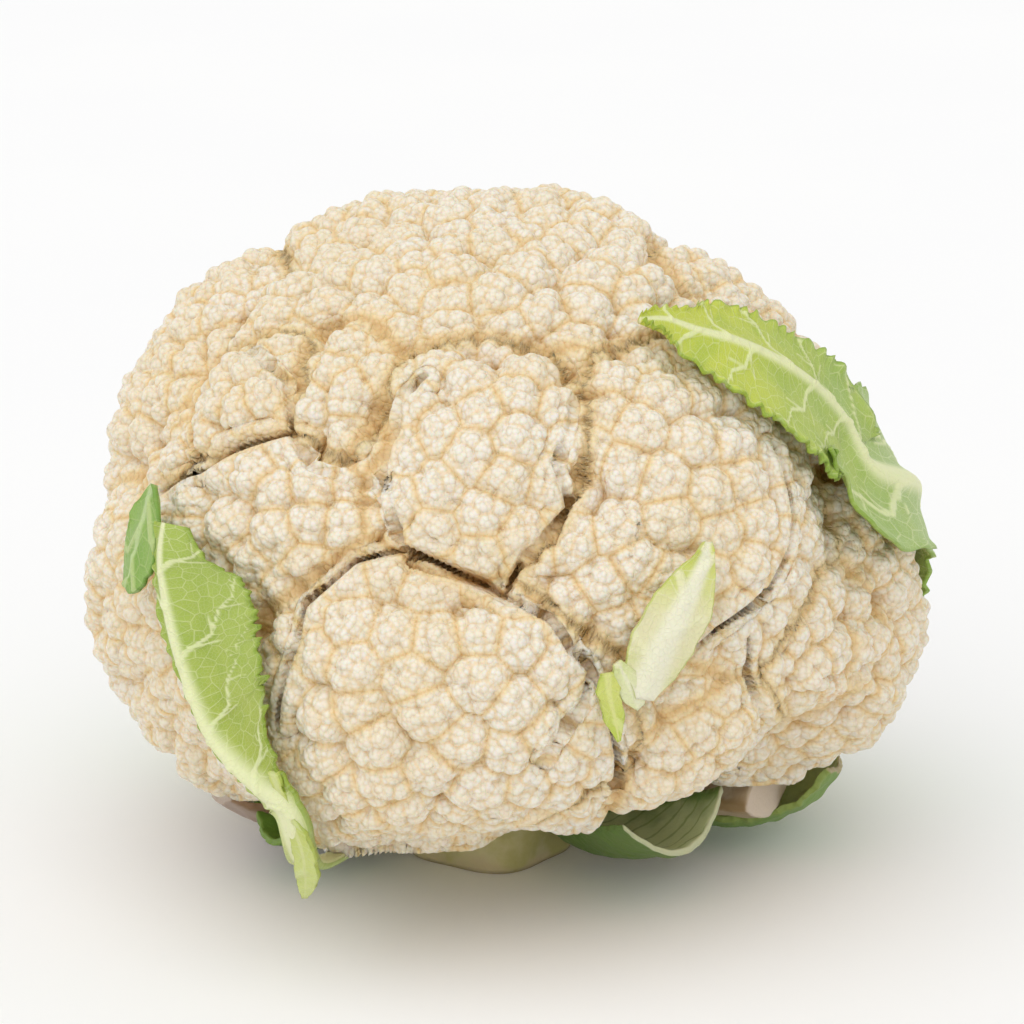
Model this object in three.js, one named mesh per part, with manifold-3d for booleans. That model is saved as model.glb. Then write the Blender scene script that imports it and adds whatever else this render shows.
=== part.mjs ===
// A trimmed cauliflower standing on its cut stem: a white head of florets, the stem and the leaves left on it.
// Millimetres, +Z up. The origin is the middle of the flat cut face that the head stands on.
import * as THREE from 'three';
import { mergeVertices } from 'three/addons/utils/BufferGeometryUtils.js';
import Module from 'manifold-3d';

const wasm = await Module();
wasm.setup();

// Driving sizes
const HEAD_MIDDLE = new THREE.Vector3(0, 0, 55);
const HALF = { side: 90, depth: 84, up: 88.6, down: 50 }; // half sizes of the smooth form under the florets
const CORE_DEPTH = 11; // how far the dense core lies inside that form
const CORE_FLOOR = 19; // height of the head's underside round the stem
const STEM = {
  radius: 17, height: 18.6, across: -3, // across: how far its middle is to the left of the head's
  lobe: 3, lobeAngle: 4.4, ribs: 1.1, wear: 0.8, flare: 4,
};
const GAP = 0.9; // air between a leaf and the head
const LEAF_OUT = 3.5; // how far outside the smooth form the leaves lie, more or less
const BLADE = 1.0; // thickness of a leaf blade
const RIB_HALF = 3.2; // how far to the side a midrib fades out
const LEAF_REACH = 88; // distance from the middle of the head at which a leaf's widths are measured
const BRIDGE = 0.07; // how far a leaf spans from one lump to the next, as a share of that distance
const BRIDGE_SLACK = 0.6; // how deep it sags between them
const DRAPE_PASSES = 10; // rounds in which a leaf is drawn taut over what it lies on
const WAVE_STEP = 1.1; // turn of the wave of a leaf's edge from one row to the next, in radians
const STEM_SIDES = 20;
const STEM_LEVELS = [0, 0.05, 0.35, 0.7, 1]; // shares of the stem's height
const MESH_DETAIL = 21; // divisions of each edge of the icosahedron that the head is raised from, less one

// The listed florets are those of the front, placed as seen from 18 degrees above the level, 800 mm away
const SIGHT = { distance: 800, elevation: THREE.MathUtils.degToRad(18) };
const ACROSS = new THREE.Vector3(1, 0, 0);
const UPWARD = new THREE.Vector3(0, Math.sin(SIGHT.elevation), Math.cos(SIGHT.elevation));
const TOWARD = new THREE.Vector3(0, -Math.cos(SIGHT.elevation), Math.sin(SIGHT.elevation));

// Florets of the front: across and up from the middle of the head, radius, and how far it stands proud
const FRONT_FLORETS = [
  // crown
  [-34, 69, 15, 2], [-22, 76, 11, 0], [-8.5, 74.5, 13, 1], [15.5, 73.5, 13.5, 2],
  // upper left shoulder and the big left florets
  [-58.5, 57.5, 13.5, 3], [-65, 42.5, 17.5, 4], [-78.5, 30.5, 7, 1],
  // upper middle
  [-35, 40.5, 12, 2], [-19, 56, 7.5, 0], [3, 58, 13.5, 1], [-20, 45.5, 6.5, 0],
  // the middle floret
  [-4.5, 40.5, 11, 2], [-6, 24, 18, 3], [14.5, 46, 5.5, -2],
  // upper right, most of it behind the leaf
  [39.5, 66, 7.5, 1], [47.5, 60.5, 9, 1], [63.5, 52.5, 5, 1], [24.5, 59.5, 10.5, 0], [22.5, 52.5, 6.5, -3],
  // the large floret right of the middle and its lower lobes
  [34.5, 29.5, 19, 5], [44, 11, 14, 5], [29, 12, 9.5, 4],
  // left of the middle
  [-44, 18, 16, 2], [-57.5, 18, 12.5, 2], [-48.5, -6.5, 9, -3],
  // lower left
  [-76, 8, 13.5, 1], [-73.5, -6.5, 16, 1], [-69.5, -21, 13, 0], [-55, -24.5, 12.5, -4],
  // the big front floret and its lobes
  [-24, -1.5, 10, 1], [-35.5, -7.5, 8, -1], [-24, -21.5, 20, 7], [-1.5, -19.5, 16.5, 6],
  [-23, -37.5, 14.5, 2], [-37, -37.5, 10.5, 2], [-4, -43, 11, 1], [10.5, -36.5, 13.5, 1],
  // between the front floret and the large right one
  [13.5, 4.5, 11.5, -2], [20, -17, 9, -3],
  // lower right
  [39.5, -27.5, 15, 0], [52.5, -2, 10.5, -3], [72, 9.5, 17, 0], [77.5, -11, 12.5, 0], [66, -22.5, 15, 0],
  [78, -23, 8.5, 0], [54.5, -31, 10, 0], [63, 34.5, 12.5, -4],
];
// Florets of the sides, the back and the underside, spread evenly where no listed one stands
const HIDDEN_FLORETS = {
  spread: 420, lowest: -0.8, // how many places are tried, and how far under the head they reach
  least: 12.5, most: 19, proud: 2, room: 0.66, recess: 3.5,
};
// The head is flatter towards the upper right and under the right, by this much and within this reach
const FLATTER = [
  { towards: new THREE.Vector3(0.75, 0, 0.62).normalize(), depth: 11, reach: 0.32 },
  { towards: new THREE.Vector3(0.62, -0.5, -0.6).normalize(), depth: 6, reach: 0.2 },
];
const LOBES = { share: 0.42, seat: 0.62, spacing: 1.2, body: 0.94 }; // shares of the radius of their floret
const GOLDEN_ANGLE = Math.PI * (3 - Math.sqrt(5));

// A repeatable number from 0 to 1 for the n-th draw of thing k
function draw(k, n) {
  const value = Math.sin(k * 12.9898 + n * 78.233) * 43758.5453;
  return value - Math.floor(value);
}

// Half sizes of the smooth form made smaller by some depth, for its upper or lower half
function formHalves(depth, below) {
  return new THREE.Vector3(HALF.side - depth, HALF.depth - depth, (below ? HALF.down : HALF.up) - depth);
}

// Where the line of sight to a place first meets the smooth form made smaller by some depth, or is nearest to it
function meetForm(across, up, depth) {
  const eye = TOWARD.clone().multiplyScalar(SIGHT.distance);
  const aim = ACROSS.clone().multiplyScalar(across).addScaledVector(UPWARD, up);
  const sight = aim.sub(eye).normalize();
  let place;
  for (const below of [false, true]) {
    const halves = formHalves(depth, below);
    const from = eye.clone().divide(halves);
    const along = sight.clone().divide(halves);
    const a = along.dot(along);
    const b = from.dot(along);
    const root = b * b - a * (from.dot(from) - 1);
    place = eye.clone().addScaledVector(sight, (-b - Math.sqrt(Math.max(root, 0))) / a);
    if (place.z < 0 === below) break;
  }
  return place;
}

// Directions spread evenly over a ball, as seeds are on a flower head
function spreadDirection(k, count, turn) {
  const z = 1 - (2 * (k + 0.5)) / count;
  const level = Math.sqrt(1 - z * z);
  const angle = k * GOLDEN_ANGLE + turn;
  return new THREE.Vector3(level * Math.cos(angle), level * Math.sin(angle), z);
}

function flattening(direction) {
  return FLATTER.reduce((sum, { towards, depth, reach }) =>
    sum + depth * THREE.MathUtils.smoothstep(direction.dot(towards), 1 - reach, 1), 0);
}

function placeFlorets() {
  const florets = FRONT_FLORETS.map(([across, up, radius, proud]) => ({
    middle: meetForm(across, up, radius - proud),
    radius,
  }));
  const listed = florets.length;
  const rule = HIDDEN_FLORETS;
  for (let k = 0; k < rule.spread; k += 1) {
    const direction = spreadDirection(k, rule.spread, 0);
    if (direction.z < rule.lowest) continue;
    const radius = rule.least + (rule.most - rule.least) * draw(k, 1);
    const form = formHalves(radius, direction.z < 0);
    const middle = direction.clone().multiply(form);
    const share = (other) => middle.distanceTo(other.middle) / (radius + other.radius);
    if (florets.some((other) => share(other) < rule.room)) continue;
    const amongListed = florets.slice(0, listed).some((other) => share(other) < 1);
    const stand = (amongListed ? -rule.recess : rule.proud * draw(k, 2)) - flattening(direction);
    florets.push({ middle: middle.addScaledVector(direction, stand), radius });
  }
  return florets;
}

// Every floret is a dome crowded with smaller rounded lobes
function placeBalls(florets) {
  const balls = [];
  florets.forEach(({ middle, radius }, k) => {
    balls.push({ middle, radius: radius * LOBES.body });
    const count = Math.round(4 / (LOBES.share * LOBES.spacing) ** 2);
    for (let n = 0; n < count; n += 1) {
      const size = radius * LOBES.share * (0.8 + 0.4 * draw(k, n + 10));
      const direction = spreadDirection(n, count, k);
      balls.push({ middle: middle.clone().addScaledVector(direction, radius * LOBES.seat), radius: size });
    }
  });
  return balls;
}

const florets = placeFlorets();
const balls = placeBalls(florets);

// Distance from the middle of the head to its surface in one direction
function headRadius(direction) {
  const below = direction.z < 0;
  let far = 1 / direction.clone().divide(formHalves(CORE_DEPTH, below)).length();
  for (const { middle, radius } of balls) {
    const along = middle.dot(direction);
    const root = radius * radius - middle.lengthSq() + along * along;
    if (root > 0) far = Math.max(far, along + Math.sqrt(root));
  }
  const flat = HEAD_MIDDLE.z - CORE_FLOOR;
  if (direction.z < -0.8) far = Math.min(far, flat / -direction.z);
  return far;
}

// A solid from its corner places and triangles
function solidGeometry(places, triangles) {
  const geometry = new THREE.BufferGeometry();
  const numbers = places.flatMap((place) => place.toArray());
  geometry.setAttribute('position', new THREE.Float32BufferAttribute(numbers, 3));
  geometry.setIndex(triangles.flat());
  return geometry;
}

function makeCurd() {
  const ball = new THREE.IcosahedronGeometry(1, MESH_DETAIL);
  ball.deleteAttribute('normal');
  ball.deleteAttribute('uv');
  const geometry = mergeVertices(ball, 1e-5);
  const position = geometry.getAttribute('position');
  const point = new THREE.Vector3();
  for (let k = 0; k < position.count; k += 1) {
    point.fromBufferAttribute(position, k).normalize();
    point.multiplyScalar(headRadius(point)).add(HEAD_MIDDLE);
    position.setXYZ(k, point.x, point.y, point.z);
  }
  return geometry;
}

// Direction from the middle of the head to a place of the front, as seen
function seen(across, up) {
  return meetForm(across, up, -LEAF_OUT).normalize();
}

// Direction by its bearing round the head, 0 at the right and 90 at the back, and its angle above the level
function around(bearing, rise) {
  const turn = THREE.MathUtils.degToRad(bearing);
  const lift = THREE.MathUtils.degToRad(rise);
  const level = Math.cos(lift);
  return new THREE.Vector3(level * Math.cos(turn), level * Math.sin(turn), Math.sin(lift));
}

// The head's surface with its crevices bridged, as a leaf that lies on it meets it
function bridgedRadius(direction) {
  const level = new THREE.Vector3(-direction.y, direction.x, 0).normalize();
  const steep = new THREE.Vector3().crossVectors(direction, level);
  let far = headRadius(direction);
  for (let k = 0; k < 6; k += 1) {
    const turn = (k * Math.PI) / 3;
    const beside = direction.clone().addScaledVector(level, BRIDGE * Math.cos(turn));
    beside.addScaledVector(steep, BRIDGE * Math.sin(turn)).normalize();
    far = Math.max(far, headRadius(beside) - BRIDGE_SLACK);
  }
  return far;
}

function curveThrough(triples) {
  return new THREE.CatmullRomCurve3(triples.map((triple) => new THREE.Vector3(...triple)));
}

// A closed skin between two like grids of places, with every square cut along the same diagonal on both
function gridSolid(outer, inner) {
  const rows = outer.length;
  const columns = outer[0].length;
  const triangles = [];
  const index = (side, i, j) => (side * rows + i) * columns + j;
  const square = (a, b, c, d) => triangles.push([a, b, c], [a, c, d]);
  for (let i = 0; i + 1 < rows; i += 1) {
    for (let j = 0; j + 1 < columns; j += 1) {
      square(index(0, i, j), index(0, i, j + 1), index(0, i + 1, j + 1), index(0, i + 1, j));
      triangles.push([index(1, i, j), index(1, i + 1, j + 1), index(1, i, j + 1)]);
      triangles.push([index(1, i, j), index(1, i + 1, j), index(1, i + 1, j + 1)]);
    }
    square(index(0, i, 0), index(0, i + 1, 0), index(1, i + 1, 0), index(1, i, 0));
    const last = columns - 1;
    square(index(0, i + 1, last), index(0, i, last), index(1, i, last), index(1, i + 1, last));
  }
  for (let j = 0; j + 1 < columns; j += 1) {
    square(index(0, 0, j + 1), index(0, 0, j), index(1, 0, j), index(1, 0, j + 1));
    const last = rows - 1;
    square(index(0, last, j), index(0, last, j + 1), index(1, last, j + 1), index(1, last, j));
  }
  return solidGeometry([...outer.flat(), ...inner.flat()], triangles);
}

// A leaf that follows the head. Each place of its spine has a direction, the width on either side of the
// midrib, the rise of the midrib over the blade and how far the leaf stands off.
function makeLeaf({ spine, rows, columns = 4, wave = 1, teeth = 0.12 }) {
  const curve = new THREE.CatmullRomCurve3(spine.map(([direction]) => direction));
  const widths = curveThrough(spine.map((place) => place.slice(1, 4)));
  const stands = curveThrough(spine.map((place) => [place[4], 0, 0]));
  const grid = [];
  for (let i = 0; i <= rows; i += 1) {
    const along = i / rows;
    const middle = curve.getPoint(along).normalize();
    const side = new THREE.Vector3().crossVectors(middle, curve.getTangent(along)).normalize();
    const { x: front, y: back, z: rib } = widths.getPoint(along);
    const stand = stands.getPoint(along).x;
    const tooth = 1 - teeth * (i % 2);
    const row = [];
    for (let j = -columns; j <= columns; j += 1) {
      const share = j / columns;
      const width = (j > 0 ? front : back) * share * (Math.abs(j) === columns ? tooth : 1);
      const direction = middle.clone().multiplyScalar(LEAF_REACH).addScaledVector(side, width).normalize();
      const lift = stand + wave * share * share * (1 + Math.sin(i * WAVE_STEP + Math.sign(j)));
      const least = bridgedRadius(direction) + GAP + lift;
      const crest = rib * Math.exp(-((width / RIB_HALF) ** 2));
      row.push({ direction, least, height: least, thick: BLADE + crest });
    }
    grid.push(row);
  }
  for (let pass = 0; pass < DRAPE_PASSES; pass += 1) {
    const heights = grid.map((row) => row.map((place) => place.height));
    grid.forEach((row, i) => row.forEach((place, j) => {
      const own = heights[i][j];
      const beside = (heights[i][j - 1] ?? own) + (heights[i][j + 1] ?? own);
      const along = (heights[i - 1]?.[j] ?? own) + (heights[i + 1]?.[j] ?? own);
      place.height = Math.max(place.least, (beside + along) / 4);
    }));
  }
  const skin = (extra) => grid.map((row) => row.map(({ direction, height, thick }) =>
    direction.clone().multiplyScalar(height + thick * extra).add(HEAD_MIDDLE)));
  return gridSolid(skin(0), skin(1));
}

// A trimmed leaf base. Each place of its path has x, y, z, half width, sag of its hollow and thickness.
function makeBase({ path, rows = 6, columns = 4, rim = 1.2 }) {
  const line = curveThrough(path.map((place) => place.slice(0, 3)));
  const sizes = curveThrough(path.map((place) => place.slice(3, 6)));
  const outer = [];
  const inner = [];
  for (let i = 0; i <= rows; i += 1) {
    const middle = line.getPoint(i / rows);
    const ahead = line.getTangent(i / rows);
    const side = new THREE.Vector3(ahead.y, -ahead.x, 0).normalize();
    const under = new THREE.Vector3().crossVectors(ahead, side).normalize();
    if (under.z > 0) under.negate();
    const { x: half, y: sag, z: thick } = sizes.getPoint(i / rows);
    const lower = [];
    const upper = [];
    for (let j = -columns; j <= columns; j += 1) {
      const share = j / columns;
      const round = 1 - share * share;
      const place = middle.clone().addScaledVector(side, half * share).addScaledVector(under, sag * round);
      lower.push(place);
      upper.push(place.clone().addScaledVector(under, -(rim + (thick - rim) * round)));
    }
    outer.push(lower);
    inner.push(upper);
  }
  return gridSolid(inner, outer);
}

// The stem: a short lumpy stalk, cut flat below, widening a little into the head
function makeStem() {
  const sides = STEM_SIDES;
  const places = [new THREE.Vector3(STEM.across, 0, 0), new THREE.Vector3(STEM.across, 0, STEM.height)];
  const triangles = [];
  STEM_LEVELS.forEach((level, i) => {
    for (let j = 0; j < sides; j += 1) {
      const angle = (2 * Math.PI * j) / sides;
      const worn = i === 0 ? STEM.wear : 0;
      const lumps = STEM.lobe * Math.cos(angle - STEM.lobeAngle) + STEM.ribs * Math.cos(5 * angle + 1);
      const radius = STEM.radius + lumps * (1 - level / 2) + STEM.flare * level * level - worn;
      const x = STEM.across + radius * Math.cos(angle);
      places.push(new THREE.Vector3(x, radius * Math.sin(angle), level * STEM.height));
    }
  });
  const at = (i, j) => 2 + i * sides + (j % sides);
  for (let j = 0; j < sides; j += 1) {
    const top = STEM_LEVELS.length - 1;
    triangles.push([0, at(0, j + 1), at(0, j)], [1, at(top, j), at(top, j + 1)]);
    for (let i = 0; i < top; i += 1) {
      triangles.push([at(i, j), at(i, j + 1), at(i + 1, j + 1)]);
      triangles.push([at(i, j), at(i + 1, j + 1), at(i + 1, j)]);
    }
  }
  return solidGeometry(places, triangles);
}

// One closed body from several that overlap
function fuse(...geometries) {
  const solids = geometries.map((geometry) => new wasm.Manifold(new wasm.Mesh({
    numProp: 3,
    vertProperties: new Float32Array(geometry.getAttribute('position').array),
    triVerts: new Uint32Array(geometry.getIndex().array),
  })));
  const { vertProperties, triVerts } = solids.reduce((whole, solid) => whole.add(solid)).getMesh();
  const geometry = new THREE.BufferGeometry();
  geometry.setAttribute('position', new THREE.Float32BufferAttribute(vertProperties, 3));
  geometry.setIndex([...triVerts]);
  return geometry;
}

const group = new THREE.Group();
function addPart(name, geometry, colour, roughness) {
  const material = new THREE.MeshStandardMaterial({ color: colour, roughness, metalness: 0 });
  const mesh = new THREE.Mesh(geometry, material);
  mesh.name = name;
  group.add(mesh);
}

addPart('curd', makeCurd(), 0xf2e6cf, 0.6);
addPart('stem', makeStem(), 0xb9b07c, 0.6);

// From the base under the head up the right side, and over the upper right with its tip to the front
addPart('leaf_upper_right', makeLeaf({
  rows: 26,
  wave: 0.9,
  spine: [
    [around(33, -57), 6.5, 6.5, 3.5, 0],
    [around(26, -38), 14, 14, 4, 0],
    [around(23, -18), 26, 26, 3.5, 0.8],
    [around(18, 0), 31, 32, 3, 0.8],
    [around(10, 17), 24, 32, 2.6, 0.6],
    [seen(79.5, 31), 15, 25, 2.2, 0.5],
    [seen(69, 43.5), 16, 15, 2, 0.5],
    [seen(56.5, 51.5), 14, 16, 1.6, 0.5],
    [seen(42.5, 57), 11, 12, 1.2, 0.5],
    [seen(29.5, 60.5), 2, 2.5, 0.8, 0.5],
  ],
}), 0x8fb04a, 0.5);

// From under the head up the front left, cut off at the top, where its end folds down to the left;
// a pale tongue of its lower edge hangs below
addPart('leaf_left', fuse(
  makeLeaf({
    rows: 20,
    wave: 0.8,
    spine: [
      [around(-131, -57), 5, 5, 4.5, 0],
      [around(-139, -46), 6, 6, 4.5, 0],
      [seen(-52.5, -39), 8, 11, 4, 0.5],
      [seen(-62.5, -29), 10, 18, 3.6, 0.5],
      [seen(-70.5, -16), 10, 22, 3.2, 0.5],
      [seen(-74, 0), 6, 21, 3, 0.5],
      [seen(-73, 16.5), 4, 5, 2.6, 0.5],
    ],
  }),
  makeLeaf({
    rows: 6,
    columns: 3,
    wave: 0.8,
    spine: [
      [seen(-71.5, 17), 4, 3, 0.5, 1.2],
      [seen(-76, 15), 5, 10, 0.8, 1.8],
      [seen(-79.5, 9), 4, 6, 0.8, 2.2],
      [seen(-82, 4), 1.5, 1.5, 0.5, 2.6],
    ],
  }),
  makeLeaf({
    rows: 6,
    columns: 2,
    wave: 0,
    spine: [
      [seen(-46, -36), 2, 2, 0.5, 1],
      [seen(-43.5, -45), 2.5, 2.5, 0.5, 2],
      [seen(-40, -50.5), 3.5, 3, 0.5, 3.5],
      [seen(-37, -54), 1.2, 1.2, 0.5, 4],
    ],
  }),
), 0x9fbb5c, 0.5);

// A small pale leaf that grows out between the florets
addPart('leaf_front_small', makeLeaf({
  rows: 14,
  columns: 3,
  wave: 0.6,
  spine: [
    [seen(22, -27), 2, 2.5, 1.5, 0],
    [seen(25, -19), 4.5, 5, 1.6, 0.3],
    [seen(31, -11), 6.5, 7.5, 1.4, 0.5],
    [seen(37, -3), 6.5, 6, 1.2, 1],
    [seen(41, 5), 4, 3.5, 1, 1.5],
    [seen(42.5, 11), 1, 1, 0.6, 2],
  ],
}), 0xd5d88c, 0.5);

// Trimmed leaf bases round the stem
addPart('leaf_base_cup', makeBase({
  rows: 8,
  path: [
    [13, -14, 9, 5, 4, 7],
    [20, -19, 11, 8, 7, 5],
    [28, -24, 14, 12.5, 9, 2.4],
    [34, -29, 16.5, 14, 9.5, 1.4],
  ],
}), 0xa9bd7a, 0.5);
addPart('leaf_base_right', fuse(
  makeBase({
    rows: 6,
    path: [
      [19.5, 3, 9, 6.5, 5, 9],
      [36, 0, 9.5, 8, 6, 11],
      [53, -7, 10.5, 9, 7, 12],
    ],
  }),
  makeBase({
    rows: 6,
    path: [
      [36, 2, 8.5, 8, 4, 3],
      [52, 2, 8, 11, 5, 1.6],
      [64, 1, 12, 11, 4, 1.4],
      [71, 0, 19, 8, 3, 1.4],
    ],
  }),
), 0xc4b49c, 0.6);
addPart('leaf_base_left', makeBase({
  rows: 8,
  path: [
    [-26, 4, 9, 7, 5, 8],
    [-38, 3, 9.5, 10, 6, 5],
    [-52, 1, 13, 12, 6, 3],
    [-62, 0, 19, 11, 4, 1.6],
  ],
}), 0xb7aa9f, 0.6);
addPart('leaf_under_left', makeBase({
  rows: 6,
  path: [
    [-25, -10, 8.5, 4.5, 3, 5],
    [-37, -16, 9.5, 7, 5, 2.5],
    [-50, -22, 13, 10, 5, 1.4],
  ],
}), 0x5f8a2c, 0.5);
addPart('leaf_back_left', makeLeaf({
  rows: 16,
  spine: [
    [around(142, -57), 6, 6, 4, 0],
    [around(138, -36), 14, 14, 4, 0],
    [around(140, -14), 24, 24, 3.4, 1],
    [around(143, 6), 24, 25, 2.8, 1],
    [around(145, 22), 10, 12, 2, 1.5],
  ],
}), 0x86a84a, 0.5);
addPart('leaf_back_right', makeLeaf({
  rows: 12,
  spine: [
    [around(76, -57), 6, 6, 4, 0],
    [around(80, -40), 14, 14, 4, 0],
    [around(82, -22), 20, 20, 3.4, 1],
    [around(84, -6), 15, 15, 2.4, 1.5],
  ],
}), 0x86a84a, 0.5);
addPart('leaf_back_base', makeBase({
  rows: 6,
  path: [
    [-10, 21, 8, 5, 4, 7],
    [-14, 34, 9, 8, 5, 7],
    [-19, 47, 12, 10, 6, 5],
  ],
}), 0xb9bd95, 0.6);

export default group;
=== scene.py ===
"""A trimmed cauliflower that stands on its cut stem: white florets, the stem, and the leaves left on it."""
import math

import bmesh
import bpy
import numpy as np
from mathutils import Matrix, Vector
from mathutils.kdtree import KDTree


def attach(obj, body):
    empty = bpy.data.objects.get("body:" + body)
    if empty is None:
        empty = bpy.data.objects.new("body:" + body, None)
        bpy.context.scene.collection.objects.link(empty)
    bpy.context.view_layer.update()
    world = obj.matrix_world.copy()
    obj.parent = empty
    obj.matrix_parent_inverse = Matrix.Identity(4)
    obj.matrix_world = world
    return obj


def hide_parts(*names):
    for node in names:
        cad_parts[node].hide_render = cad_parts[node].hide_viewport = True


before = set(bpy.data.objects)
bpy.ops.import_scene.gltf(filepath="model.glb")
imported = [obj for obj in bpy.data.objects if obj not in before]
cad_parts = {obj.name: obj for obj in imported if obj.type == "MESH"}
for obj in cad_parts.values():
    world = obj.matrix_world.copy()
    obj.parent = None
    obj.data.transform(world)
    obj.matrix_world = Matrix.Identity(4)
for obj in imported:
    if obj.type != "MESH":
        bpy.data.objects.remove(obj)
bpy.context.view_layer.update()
MM = 0.001  # the sizes below are in millimetres, and the meshes in metres


# Camera
# The head is seen from 18 degrees above the level and 800 mm away. The florets and leaves of its front
# are placed across and up as seen from there, measured from the middle of the head.
HEAD_MIDDLE = np.array([0.0, 0.0, 55.0])
SIGHT_DISTANCE = 800.0
SIGHT_ELEVATION = math.radians(18)
FRAME_MIDDLE = (1.1, 18.9)  # the middle of the picture, across and up
FRAME_WIDTH = 219.7
ACROSS = np.array([1.0, 0.0, 0.0])
UPWARD = np.array([0.0, math.sin(SIGHT_ELEVATION), math.cos(SIGHT_ELEVATION)])
TOWARD = np.array([0.0, -math.cos(SIGHT_ELEVATION), math.sin(SIGHT_ELEVATION)])
EYE = TOWARD * SIGHT_DISTANCE

lens = bpy.data.cameras.new("camera")
lens.sensor_width = 36.0
lens.lens = lens.sensor_width * SIGHT_DISTANCE / FRAME_WIDTH
camera = bpy.data.objects.new("camera", lens)
bpy.context.scene.collection.objects.link(camera)
camera.location = Vector((HEAD_MIDDLE + EYE) * MM)
aim = ACROSS * FRAME_MIDDLE[0] + UPWARD * FRAME_MIDDLE[1] - EYE
camera.rotation_euler = Vector(aim).to_track_quat("-Z", "Y").to_euler()
bpy.context.scene.camera = camera


# Curd
# The white head: many florets crowded on short stalks, all branched from one stem, and pressed together into
# one close surface. Each floret is a dome of lobes, each lobe of clusters, and each cluster of flower buds
# the size of a pinhead. Florets that have grown together part only in shallow creases.
HALF_SIDE, HALF_DEPTH, HALF_UP, HALF_DOWN = 90.0, 84.0, 88.6, 50.0  # of the smooth form under the florets
GOLDEN_ANGLE = math.pi * (3 - math.sqrt(5))
FRONT_FLORETS = [  # across, up, radius, how far it stands proud; those of one row have grown together
    # crown
    [(-34, 69, 15, 2), (-22, 77, 11, 1), (-8.5, 74.5, 13, 1), (4, 79, 10.5, 1), (16, 73.5, 14, 2),
     (3, 58, 13.5, 1), (-19, 56, 8, 1), (-42, 58, 10.5, 1), (24.5, 59.5, 11, 1), (22.5, 51.5, 8, -1),
     (-9, 66, 11, 0.5), (9, 66.5, 11, 0.5), (-27, 62, 10, 0.5), (21, 66, 10, 0.5)],
    # upper left shoulder and the big left florets
    [(-58.5, 57.5, 14, 3), (-65, 42.5, 17.5, 4), (-53, 41, 10, 4.5), (-78.5, 30.5, 7.5, 1)],
    # left of the middle, above
    [(-35, 40.5, 12, 2), (-30, 49, 8, 1)],
    # the middle floret
    [(-4.5, 40.5, 11.5, 2), (-6, 24, 18, 3), (-17, 43, 8.5, 1), (6.5, 36, 9.5, 2.5)],
    [(14.5, 45, 7, -0.5)], [(14, 33, 6.5, -0.5)],
    # upper right, most of it behind the leaf
    [(39.5, 66, 8, 1), (47.5, 60.5, 10, 1), (56, 55, 9, 0), (64, 52.5, 6, 0.5)],
    # the large floret right of the middle and its lower lobes
    [(34.5, 29.5, 19, 5), (44, 11, 14, 5), (49, 22, 11, 4.5), (29, 11.5, 10, 4), (14.5, 3, 12.5, 1.5),
     (29.5, 3.5, 7, 1.5)],
    # left of the middle
    [(-44, 18, 16, 2), (-57.5, 18, 12.5, 2), (-50, 27.5, 9, 1.5)],
    [(-48.5, -6.5, 9.5, -2.5)], [(-26, 33, 6.5, 0)], [(-66, 30, 6, 0)],
    # lower left
    [(-76, 8, 13.5, 1), (-73.5, -6.5, 16, 0), (-69.5, -21, 13, -1.5),
     (-55, -24.5, 12.5, -4), (-61, -3, 14, -2)],
    # the big front floret and its lobes
    [(-24, -1.5, 10.5, 1), (-35.5, -7.5, 9, 0), (-24, -21.5, 20, 7), (-1.5, -19.5, 16.5, 6),
     (-23, -37.5, 14.5, 2), (-37, -37.5, 10.5, 2), (-4, -43, 11, 1)],
    [(10.5, -36.5, 13.5, 1), (4, -47, 8, -1)],
    # between the front floret and the large right one
    [(20, -17, 9, -2), (34, -12, 10, -2.5), (17, -9, 7.5, -1.5)],
    # lower right
    [(39.5, -27.5, 15, 0), (54.5, -31, 10, -0.5), (28, -37, 9, -1)],
    [(72, 9.5, 17, 0), (77.5, -11, 12.5, 0), (66, -22.5, 15, -0.5), (78, -23, 8.5, -1), (53, -2, 11, -3),
     (60, -11, 10, -2)], [(63, 34.5, 12.5, -4)],
]
HIDDEN_FLORETS = dict(spread=420, lowest=-0.8, least=12.5, most=19.0, proud=2.0, room=0.66, recess=3.5,
                      joined=0.5)
FILLERS = dict(spread=3000, depth=5.5, radius=8.5, below=3.0, spacing=9.0)
FLATTER = [  # towards a direction, the head is flatter by some depth within some reach
    (np.array([0.75, 0.0, 0.62]), 11.0, 0.32),
    (np.array([0.62, -0.5, -0.6]), 6.0, 0.2),
]
REACH = 1.44  # how much wider than a ball a floret grows, until its neighbours stop it
BULGE = 0.38  # how far it is domed, as a share of its radius
STEEP = 1.0  # how much more steeply its side falls beyond its reach
SLIMMER = [  # and there all the florets stand back
    (np.array([-0.85, 0.15, 0.5]), 1.2, 0.25),
    (np.array([0.85, 0.2, 0.5]), 4.5, 0.22),
    (np.array([0.42, 0.27, 0.87]), 5.0, 0.08),
    (np.array([0.0, 0.35, 0.94]), 1.5, 0.1),
    (np.array([0.0, 1.0, -0.1]), 2.5, 0.5),
    (np.array([-0.84, -0.36, -0.4]), 4.0, 0.14),
    (np.array([0.86, -0.32, -0.4]), 4.0, 0.12),
    (np.array([-0.15, -0.84, -0.52]), 7.0, 0.07),
    (np.array([0.25, -0.82, -0.52]), 8.5, 0.07),
    (np.array([0.66, -0.6, -0.46]), 12.5, 0.12),
]
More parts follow.
